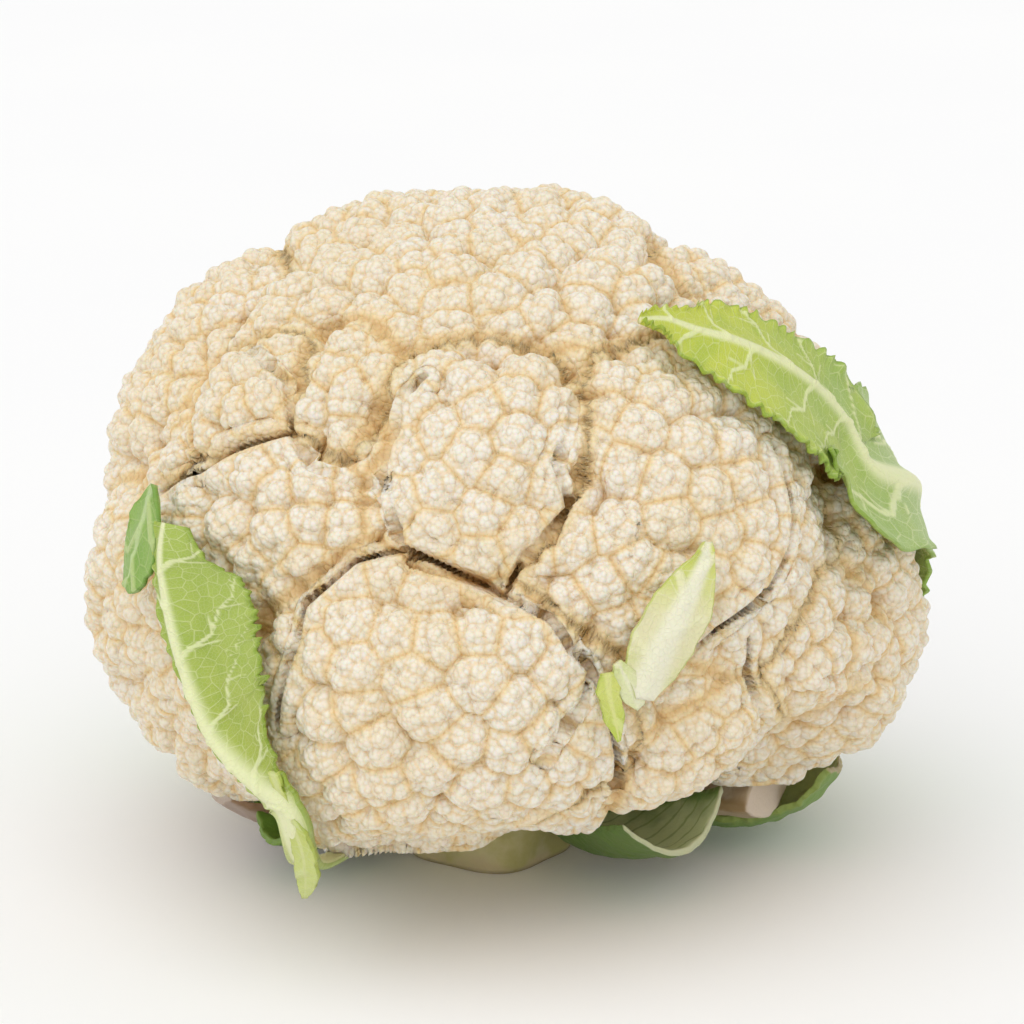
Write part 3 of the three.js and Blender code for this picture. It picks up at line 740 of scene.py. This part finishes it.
def add_leaf(name, node, spine, rows, columns=4, wave=1.0, teeth=0.1, veins=24.0, seed=1, curl=0.0,
             step=0.6):
    """A leaf over the head. Each place of its spine has a direction, the width on either side of the midrib,
    the rise of the midrib over the blade, and how far the leaf stands off. Step is that of its mesh."""
    generator = np.random.default_rng(seed)

    def lay(along, shares):
        middle = unit(curve_through([place[0] for place in spine], along))
        ahead = curve_through([place[0] for place in spine], np.minimum(along + 1e-4, 1)) \
            - curve_through([place[0] for place in spine], np.maximum(along - 1e-4, 0))
        side = unit(np.cross(middle, ahead))
        front, back, rib = curve_through([place[1:4] for place in spine], along).T
        stand = curve_through([(place[4], 0, 0) for place in spine], along)[:, 0]
        width = np.where(shares > 0, front[:, None], back[:, None]) * shares
        return middle, side, width, rib, stand

    # the net that is drawn taut
    along = np.linspace(0, 1, rows * FINER + 1)
    shares = np.linspace(-1, 1, 2 * columns * FINER + 1)
    middle, side, width, rib, stand = lay(along, shares)
    directions = unit(middle[:, None] * LEAF_REACH + side[:, None] * width[..., None])
    swing = 1 + np.sin(along[:, None] * rows * WAVE_STEP + np.sign(shares))
    lift = stand[:, None] + wave * shares ** 2 * swing
    least = bridged_radius(directions.reshape(-1, 3)).reshape(lift.shape) + GAP + lift
    height = least.copy()
    for _ in range(10 * FINER ** 2):
        wide = np.pad(height, 1, mode="edge")
        height = np.maximum(least, (wide[:-2, 1:-1] + wide[2:, 1:-1] + wide[1:-1, :-2] + wide[1:-1, 2:]) / 4)
        height = np.minimum(height, lowest_radius(directions) + GAP + lift)

    # the fine skin
    length = np.linalg.norm(np.diff(middle * LEAF_REACH, axis=0), axis=1).sum()
    breadth = max(place[1] + place[2] for place in spine)
    lines, cross = round(length / step), 2 * round(breadth / step / 2)
    fine_along = np.linspace(0, 1, lines + 1)
    fine_shares = np.linspace(-1, 1, cross + 1)
    height = curve_through(curve_through(height, fine_along).T, (fine_shares + 1) / 2).T
    middle, side, width, rib, _ = lay(fine_along, fine_shares)
    a = fine_along * length
    notch = sum(size * (1 - ((a / pitch + generator.random()) % 1)) for pitch, size in TEETH)
    notch = np.convolve(np.pad(notch, 1, mode="edge"), [0.25, 0.5, 0.25], mode="valid")
    edge = smooth(0.72, 1.0, np.abs(fine_shares))
    width = width * (1 - teeth * 1.5 * notch[:, None] * edge)
    directions = unit(middle[:, None] * LEAF_REACH + side[:, None] * width[..., None])
    flat = np.stack([np.broadcast_to(a[:, None], width.shape), width], axis=-1)
    vein = vein_strength(flat.reshape(-1, 2), vein_lines(length, veins, generator)).reshape(width.shape)
    crest = rib[:, None] * np.exp(-(width / RIB_HALF) ** 2)
    ruffle = curl * edge * np.sin(a[:, None] * 1.1 + 2 * np.sin(a[:, None] * 0.31)) * 0.5 + curl * edge * 0.5
    height = height + ruffle
    outer = HEAD_MIDDLE + directions * (height + BLADE + crest + 0.45 * vein * (1 - edge))[..., None]
    inner = HEAD_MIDDLE + directions * height[..., None]
    shape = np.stack([np.broadcast_to(fine_along[:, None], width.shape),
                      np.broadcast_to(fine_shares, width.shape), vein], axis=-1)
    place = np.concatenate([flat, np.zeros((*width.shape, 1))], axis=-1)
    return add_piece(name, skin_mesh(name, outer, inner, {"leaf": shape, "flat": place}), node)


def leaf_finish(name, blade, young, rib, vein, dark, rib_half=4.0):
    """Blade colour at the stalk and at the tip, and the colours of midrib, veins and edge."""
    finish = Finish(name, Roughness=0.42, Subsurface_Weight=0.12, Subsurface_Scale=0.002,
                    Subsurface_Radius=(0.7, 1.0, 0.2), Specular_IOR_Level=0.4)
    along, share, branch = finish.attribute("leaf")
    _, across, _ = finish.attribute("flat")
    flat = finish.node("Attribute", {"attribute_name": "flat"}, output=1)
    far = finish.math("ABSOLUTE", share)
    colour = finish.mix((along + (finish.noise(60.0, 3.0) - 0.5) * 0.5).step(0.35, 0.9), blade, young)
    colour = finish.mix(finish.noise(160.0, 4.0).step(0.42, 0.7) * 0.35, colour, dark)
    cells = {"voronoi_dimensions": "2D", "feature": "DISTANCE_TO_EDGE"}
    net = finish.node("TexVoronoi", cells, Vector=flat, Scale=0.3)
    fine = finish.node("TexVoronoi", cells, Vector=flat, Scale=0.95)
    colour = finish.mix(fine.step(0.09, 0.0) * 0.22, colour, vein)
    colour = finish.mix(net.step(0.06, 0.01) * 0.4, colour, vein)
    colour = finish.mix(branch.step(0.15, 0.85) * 0.85, colour, vein)
    middle = finish.math("ABSOLUTE", across) / ((1.15 - along) * rib_half)
    colour = finish.mix(middle.step(1.3, 0.35) * 0.95, colour, rib)
    colour = finish.mix(far.step(0.93, 1.0) * 0.6, colour, dark)
    grain = finish.noise(900.0, 3.0) + net.step(0.12, 0.0) * 0.6 + fine.step(0.15, 0.0) * 0.5
    bump = finish.node("Bump", Strength=0.5, Distance=0.0003, Height=grain)
    return finish.feed(Base_Color=colour, Normal=bump)


upper_right = add_leaf(
    "leaf_upper_right_blade", "leaf_upper_right", rows=26, wave=0.7, seed=3, curl=1.2, step=0.8,
    spine=[
    (around(33, -57), 6.5, 6.5, 3.5, 0),
    (around(26, -38), 12, 14, 4, 0),
    (around(22, -18), 15, 24, 3.5, 0.4),
    (around(15, -1), 16, 26, 3, 0.4),
    (around(7, 12), 15, 26, 2.8, 0.3),
    (seen(80, 30), 18, 22, 2.6, 0.3),
    (seen(75, 39), 21, 18, 2.4, 0.3),
    (seen(68, 45), 22, 15, 2.2, 0.4),
    (seen(59, 49.5), 20, 14, 2, 0.4),
    (seen(49, 53), 15, 13, 1.8, 0.5),
    (seen(40, 55.5), 10, 10, 1.4, 0.5),
    (seen(33, 58.5), 5, 4, 1, 0.5),
    (seen(28, 58.8), 1, 1, 0.6, 0.5),
])
upper_right.data.materials.append(leaf_finish(
    "leaf_green", blade=(0.36, 0.50, 0.13), young=(0.56, 0.62, 0.07), rib=(0.80, 0.82, 0.46),
    vein=(0.76, 0.80, 0.42), dark=(0.25, 0.40, 0.04)))

left_blade = add_leaf("leaf_left_blade", "leaf_left", rows=22, wave=0.8, seed=5, curl=0.8, spine=[
    (around(-131, -57), 3, 3, 2, 0),
    (around(-128, -48), 3, 3, 1.5, 0),
    (around(-125, -36), 3, 3, 1.5, 0),
    (seen(-45.6, -43, 7), 3.5, 4, 3, 0),
    (seen(-51.3, -39.2, 7), 4, 9.5, 3.8, 0.2),
    (seen(-57.8, -35, 7), 4.5, 17, 3.8, 0.3),
    (seen(-64.4, -29, 7), 5, 22, 3.6, 0.4),
    (seen(-69.3, -19.5, 7), 5, 22.5, 3.5, 0.5),
    (seen(-72.2, -10.9, 7), 5, 23, 3.3, 0.5),
    (seen(-74, -0.2, 7), 5, 22, 3.1, 0.5),
    (seen(-74.3, 8.6, 7), 4, 13.5, 2.9, 0.5),
    (seen(-73, 16.5, 7), 2.5, 5, 2.6, 0.5),
])
left_flap = add_leaf(
    "leaf_left_flap", "leaf_left", rows=6, columns=3, wave=0.8, teeth=0.2, seed=6, veins=9.0,
    spine=[
    (seen(-73.5, 24), 1, 1, 0.5, 1.2),
    (seen(-74.5, 19.5), 5, 5, 0.8, 1.8),
    (seen(-76.5, 13), 7, 7, 0.8, 2.0),
    (seen(-79, 7), 6, 6.5, 0.8, 1.6),
    (seen(-81, 2.5), 2, 2, 0.5, 1.2),
])
left_tongue = add_leaf(
    "leaf_left_tongue", "leaf_left", rows=6, columns=2, wave=0, teeth=0.25, seed=7, spine=[
    (seen(-49, -36, 8), 1.4, 1.4, 0.5, 2),
    (seen(-45.5, -44, 8), 1.8, 1.8, 0.5, 1.5),
    (seen(-42, -50, 8), 2.8, 2.8, 0.5, 2),
    (seen(-40, -54.5, 8), 3, 3, 0.5, 4),
    (seen(-39, -57.5, 8), 0.6, 0.6, 0.5, 7),
])
left_material = leaf_finish(
    "leaf_left_green", blade=(0.40, 0.48, 0.08), young=(0.39, 0.50, 0.09), rib=(0.82, 0.84, 0.50),
    vein=(0.76, 0.80, 0.44), dark=(0.24, 0.37, 0.03), rib_half=4.5)
left_blade.data.materials.append(left_material)
left_flap.data.materials.append(leaf_finish(
    "leaf_flap_green", blade=(0.28, 0.44, 0.10), young=(0.25, 0.42, 0.08), rib=(0.50, 0.62, 0.28),
    vein=(0.50, 0.60, 0.24), dark=(0.16, 0.32, 0.04), rib_half=1.2))
left_tongue.data.materials.append(leaf_finish(
    "leaf_tongue_green", blade=(0.56, 0.62, 0.16), young=(0.62, 0.68, 0.24), rib=(0.66, 0.70, 0.30),
    vein=(0.64, 0.70, 0.30), dark=(0.40, 0.50, 0.06), rib_half=0.8))

small = add_leaf(
    "leaf_front_small_blade", "leaf_front_small", rows=14, columns=3, wave=0.6, seed=11,
    veins=12.0,
    spine=[
    (seen(29, -21), 2.5, 2.5, 1.5, 0),
    (seen(31, -14), 6.5, 6.5, 1.6, 0.3),
    (seen(33.6, -6.4), 7, 7, 1.4, 0.5),
    (seen(36.6, 1), 5.5, 5.5, 1.2, 1),
    (seen(39, 7.5), 2.6, 2.6, 1, 1.5),
    (seen(39.6, 11.5), 0.5, 0.5, 0.6, 2),
])
flap = add_leaf(
    "leaf_front_flap", "leaf_front_small", rows=6, columns=2, wave=0.3, teeth=0.25, seed=12,
    spine=[
    (seen(20.5, -15), 1.5, 1.5, 0.5, 0.8),
    (seen(20.8, -19), 2.8, 2.8, 0.5, 1.0),
    (seen(22, -24), 2.4, 2.4, 0.5, 0.8),
    (seen(23, -29), 0.5, 0.5, 0.5, 0.4),
])
flap.data.materials.append(leaf_finish(
    "leaf_flap_yellow", blade=(0.62, 0.66, 0.16), young=(0.50, 0.60, 0.08), rib=(0.70, 0.72, 0.26),
    vein=(0.68, 0.72, 0.26), dark=(0.36, 0.48, 0.04), rib_half=0.8))
cup_leaf = add_leaf(
    "leaf_front_cup", "leaf_front_small", rows=5, columns=2, wave=0.4, seed=14, spine=[
    (seen(28, -22.5), 1, 1, 0.4, 0.2),
    (seen(26.5, -19.5), 2.8, 3, 0.6, 0.6),
    (seen(24.5, -16), 2.8, 2.6, 0.5, 0.9),
    (seen(23, -13), 1, 1, 0.4, 1.0),
])
cup_leaf.data.materials.append(leaf_finish(
    "leaf_cup_pale", blade=(0.74, 0.76, 0.44), young=(0.70, 0.74, 0.36), rib=(0.80, 0.80, 0.54),
    vein=(0.78, 0.78, 0.48), dark=(0.50, 0.58, 0.14), rib_half=1.0))
small.data.materials.append(leaf_finish(
    "leaf_small_pale", blade=(0.78, 0.74, 0.46), young=(0.62, 0.66, 0.14), rib=(0.86, 0.84, 0.64),
    vein=(0.80, 0.78, 0.48), dark=(0.48, 0.56, 0.08), rib_half=4.0))

back_left = add_leaf(
    "leaf_back_left_blade", "leaf_back_left", rows=16, seed=13, curl=1.2, step=1.1, spine=[
    (around(142, -57), 6, 6, 4, 0),
    (around(138, -36), 14, 14, 4, 0),
    (around(140, -14), 24, 24, 3.4, 1),
    (around(143, 6), 24, 25, 2.8, 1),
    (around(145, 20), 12, 14, 2, 1.5),
    (around(146, 27), 2, 2, 1, 1.5),
])
back_right = add_leaf(
    "leaf_back_right_blade", "leaf_back_right", rows=12, seed=17, curl=1.2, step=1.1, spine=[
    (around(76, -57), 6, 6, 4, 0),
    (around(80, -40), 14, 14, 4, 0),
    (around(82, -22), 20, 20, 3.4, 1),
    (around(84, -8), 14, 14, 2.4, 1.5),
    (around(85, 0), 2, 2, 1, 1.5),
])
back_left.data.materials.append(left_material)
back_right.data.materials.append(left_material)


# Stem and trimmed leaf bases
# Underneath, the stem is cut flat and stands on the ground. Round it are the bases of leaves that were cut
# off short: a pale hollow cup with a green rim, a thick one with a dried beige face, and torn pieces of blade.
def box_lattice(cuts):
    """A closed box from -1 to 1 with its faces cut into squares, by a number of cuts across each axis."""
    bm = bmesh.new()
    bmesh.ops.create_cube(bm, size=2.0)
    for axis, number in enumerate(cuts):
        edges = [edge for edge in bm.edges if abs(edge.verts[0].co[axis] - edge.verts[1].co[axis]) > 1e-6]
        bmesh.ops.subdivide_edges(bm, edges=edges, cuts=number, use_grid_fill=True)
    return bm


def lattice_piece(name, node, cuts, shape):
    """A piece from a box lattice, by the place in millimetres of each of its places in the box."""
    bm = box_lattice(cuts)
    box = np.array([vert.co for vert in bm.verts])
    for vert, place in zip(bm.verts, shape(box) * MM):
        vert.co = place
    bmesh.ops.recalc_face_normals(bm, faces=bm.faces[:])
    mesh = mesh_from(bm, name)
    layer = mesh.attributes.new("box", "FLOAT_VECTOR", "POINT")
    layer.data.foreach_set("vector", box.astype(np.float32).ravel())
    mesh.shade_smooth()
    return add_piece(name, mesh, node)


def ripples(places, pitch, seed):
    """An uneven height from about -1 to 1, whose lumps are about as wide as the pitch."""
    generator = np.random.default_rng(seed)
    total = np.zeros(len(places))
    for _ in range(7):
        along = unit(generator.normal(size=3)) * 2 * math.pi / (pitch * generator.uniform(0.7, 1.6))
        total += np.sin(places @ along + generator.uniform(0, 6.3))
    return total / 4


def base_shape(path, rim=1.2, rough=0.0, seed=1, ragged=0.0):
    """A trimmed base. Each place of its path has x, y, z, half width, sag of its hollow and thickness."""
    def shape(box):
        along, share, through = (box[:, 0] + 1) / 2, box[:, 1], (box[:, 2] + 1) / 2
        edge = np.abs(share) ** 4
        teeth = ragged * edge * (np.sin(along * 43 + 3 * np.sin(along * 17)) * 0.6 + np.sin(along * 97) * 0.4)
        tip = ragged * smooth(0.8, 1.0, along) * (np.sin(share * 17 + 2) * 0.6 + np.sin(share * 41) * 0.4)
        run = np.clip(along + tip * 0.02, 0, 1)
        middle = curve_through([place[:3] for place in path], run)
        ahead = unit(curve_through([place[:3] for place in path], np.minimum(run + 1e-3, 1))
                     - curve_through([place[:3] for place in path], np.maximum(run - 1e-3, 0)))
        side = unit(np.stack([ahead[:, 1], -ahead[:, 0], np.zeros(len(box))], axis=1))
        under = unit(np.cross(ahead, side))
        under *= np.where(under[:, 2:] > 0, -1, 1)
        half, sag, thick = curve_through([place[3:6] for place in path], run).T
        dome = 1 - share ** 2
        depth = sag * dome - through * (rim + (thick - rim) * dome)
        place = middle + side * ((half + teeth) * share)[:, None] + under * depth[:, None]
        return place + under * (rough * ripples(place, 5.0, seed) * np.abs(box).max(axis=1))[:, None]
    return shape


cup = lattice_piece("leaf_base_cup_shell", "leaf_base_cup", (39, 35, 3), base_shape([
    (13, -14, 9, 5, 4, 7),
    (20, -19, 11, 8, 7, 5),
    (28, -27, 16, 13.5, 9, 2.4),
    (35, -34, 20, 15, 9.5, 1.4),
], rough=0.25, seed=2, ragged=0.5))
stump = lattice_piece("leaf_base_right_stump", "leaf_base_right", (39, 29, 15), base_shape([
    (19.5, 3, 9, 6.5, 5, 9),
    (38, -2, 11.5, 9, 4, 10),
    (56, -12, 14.5, 10, 4, 11),
], rough=0.35, seed=3))
wing = lattice_piece("leaf_base_right_wing", "leaf_base_right", (49, 31, 2), base_shape([
    (36, 2, 8.5, 8, 4, 3),
    (52, 2, 8, 11, 5, 1.6),
    (64, 1, 12, 11, 4, 1.4),
    (71, 0, 19, 8, 3, 1.4),
], rough=0.4, seed=4, ragged=0.8))
left_base = lattice_piece("leaf_base_left_stump", "leaf_base_left", (39, 31, 7), base_shape([
    (-26, 4, 9, 7, 5, 8),
    (-38, 3, 9.5, 10, 6, 5),
    (-52, -3, 11.5, 12, 6, 3.5),
    (-62, -6, 15.5, 10, 4, 2.5),
], rough=0.4, seed=5, ragged=0.5))
under_left = lattice_piece("leaf_under_left_blade", "leaf_under_left", (39, 27, 2), base_shape([
    (-25, -10, 8.5, 4.5, 3, 5),
    (-37, -16, 9.5, 7, 5, 2.5),
    (-50, -22, 13, 10, 5, 1.4),
], rough=0.3, seed=6, ragged=0.7))
back_base = lattice_piece("leaf_back_base_stump", "leaf_back_base", (31, 25, 7), base_shape([
    (-10, 21, 8, 5, 4, 7),
    (-14, 34, 9, 8, 5, 7),
    (-19, 47, 12, 10, 6, 5),
], rough=0.35, seed=7))

STEM = dict(radius=17.0, height=18.6, across=-3.0, lobe=3.0, lobe_angle=4.4, ribs=1.1, wear=0.8, flare=4.0,
            knobs=0.7, rough=0.12)


def stem_shape(box):
    """A short lumpy stalk, cut flat below, widening a little into the head."""
    reach = np.abs(box[:, :2]).max(axis=1)
    angle = np.arctan2(box[:, 1], box[:, 0])
    level = (box[:, 2] + 1) / 2
    lumps = STEM["lobe"] * np.cos(angle - STEM["lobe_angle"]) + STEM["ribs"] * np.cos(5 * angle + 1)
    radius = STEM["radius"] + lumps * (1 - level / 2) + STEM["flare"] * level ** 2
    radius -= STEM["wear"] * smooth(-0.08, 0.0, -level)
    place = np.stack([radius * reach * np.cos(angle), radius * reach * np.sin(angle),
                      level * STEM["height"]], axis=1)
    knob = STEM["knobs"] * ripples(place, 6.0, 9) * smooth(0, 0.2, level) * reach
    place[:, :2] += np.stack([np.cos(angle), np.sin(angle)], axis=1) * knob[:, None]
    place[:, 2] += STEM["rough"] * (1 + ripples(place, 4.0, 10)) * (level == 0) * (reach < 0.97)
    place[:, 0] += STEM["across"]
    place[:, 2] = np.maximum(place[:, 2], 0)
    return place


stem = lattice_piece("stem_stalk", "stem", (33, 33, 13), stem_shape)


def base_finish(name, outer, inner, edge, cut, rings=0.0):
    """Colours outside, inside, along the rim and on the cut face of a trimmed base."""
    finish = Finish(name, Roughness=0.5, Subsurface_Weight=0.15, Subsurface_Scale=0.003,
                    Subsurface_Radius=(0.9, 0.8, 0.3), Specular_IOR_Level=0.35)
    along, share, through = finish.attribute("box")
    cloud = finish.noise(90.0, 4.0)
    far = finish.math("ABSOLUTE", share)
    colour = finish.mix(through.step(-0.4, 0.6), outer, inner)
    if rings:
        wave = finish.math("SINE", (along - share * share * 0.35 + cloud * 0.3) * rings)
        colour = finish.mix(wave.step(0.75, 1.0) * 0.5, colour, edge)
    colour = finish.mix((cloud + far * 0.5 - 0.4).step(0.35, 0.6) * 0.5, colour, edge)
    colour = finish.mix((far + (cloud - 0.5) * 0.3).step(0.84, 0.97), colour, edge)
    colour = finish.mix((along + (cloud - 0.5) * 0.1).step(0.96, 0.995) * 0.9, colour, cut)
    streak = finish.noise(700.0, 4.0) + cloud
    bump = finish.node("Bump", Strength=0.5, Distance=0.0006, Height=streak)
    return finish.feed(Base_Color=colour, Normal=bump)


cup.data.materials.append(base_finish(
    "base_cup", outer=(0.14, 0.22, 0.05), inner=(0.52, 0.60, 0.34),
    edge=(0.13, 0.22, 0.05), cut=(0.60, 0.62, 0.40), rings=26.0))
stump.data.materials.append(base_finish(
    "base_stump", outer=(0.46, 0.36, 0.24), inner=(0.62, 0.51, 0.38),
    edge=(0.36, 0.24, 0.12), cut=(0.68, 0.57, 0.46)))
wing.data.materials.append(base_finish(
    "base_wing", outer=(0.20, 0.32, 0.08), inner=(0.36, 0.42, 0.16),
    edge=(0.26, 0.34, 0.08), cut=(0.48, 0.40, 0.24)))
left_base.data.materials.append(base_finish(
    "base_left", outer=(0.44, 0.34, 0.28), inner=(0.50, 0.46, 0.34),
    edge=(0.30, 0.18, 0.10), cut=(0.52, 0.42, 0.34)))
under_left.data.materials.append(base_finish(
    "base_green", outer=(0.10, 0.22, 0.02), inner=(0.16, 0.30, 0.04),
    edge=(0.12, 0.24, 0.03), cut=(0.20, 0.32, 0.06)))
back_base.data.materials.append(base_finish(
    "base_back", outer=(0.50, 0.52, 0.30), inner=(0.56, 0.58, 0.36),
    edge=(0.36, 0.36, 0.16), cut=(0.66, 0.60, 0.44)))


def stem_finish():
    finish = Finish("stem", Roughness=0.5, Subsurface_Weight=0.3, Subsurface_Scale=0.004,
                    Subsurface_Radius=(1.0, 0.8, 0.3), Specular_IOR_Level=0.35)
    _, _, up = finish.attribute("box")
    cloud = finish.noise(110.0, 5.0)
    colour = finish.mix(cloud.step(0.35, 0.65), (0.62, 0.56, 0.30), (0.46, 0.42, 0.16))
    colour = finish.mix((up + (cloud - 0.5) * 1.5).step(-0.6, -1.0) * 0.7, colour, (0.55, 0.44, 0.26))
    bump = finish.node("Bump", Strength=0.6, Distance=0.0008, Height=cloud + finish.noise(500.0) * 0.4)
    return finish.feed(Base_Color=colour, Normal=bump)


stem.data.materials.append(stem_finish())


# Floor and light
# A plain pale floor under soft, even studio light.
bm = bmesh.new()
bmesh.ops.create_grid(bm, x_segments=1, y_segments=1, size=4.0)
ground = mesh_from(bm, "floor")
floor = bpy.data.objects.new("floor", ground)
bpy.context.scene.collection.objects.link(floor)
paper = Finish("floor", Roughness=0.9)
ground.materials.append(paper.feed(
    Base_Color=paper.mix(paper.noise(4.0).step(0.3, 0.7), (0.935, 0.935, 0.935), (0.945, 0.945, 0.94))))
world = bpy.data.worlds.new("studio")
world.use_nodes = True
world.node_tree.nodes["Background"].inputs["Strength"].default_value = 0.75
world.node_tree.nodes["Background"].inputs["Color"].default_value = (1, 1, 1, 1)
bpy.context.scene.world = world


def soft_light(name, place, strength, width):
    """Light from one side through a wide screen."""
    lamp = bpy.data.lights.new(name, "SUN")
    lamp.energy = strength
    lamp.angle = width
    light = bpy.data.objects.new(name, lamp)
    light.rotation_euler = Vector(place).to_track_quat("Z", "Y").to_euler()
    bpy.context.scene.collection.objects.link(light)


soft_light("key", (-0.25, -0.55, 1.0), 1.1, 1.4)
bpy.context.scene.view_settings.view_transform = "Standard"
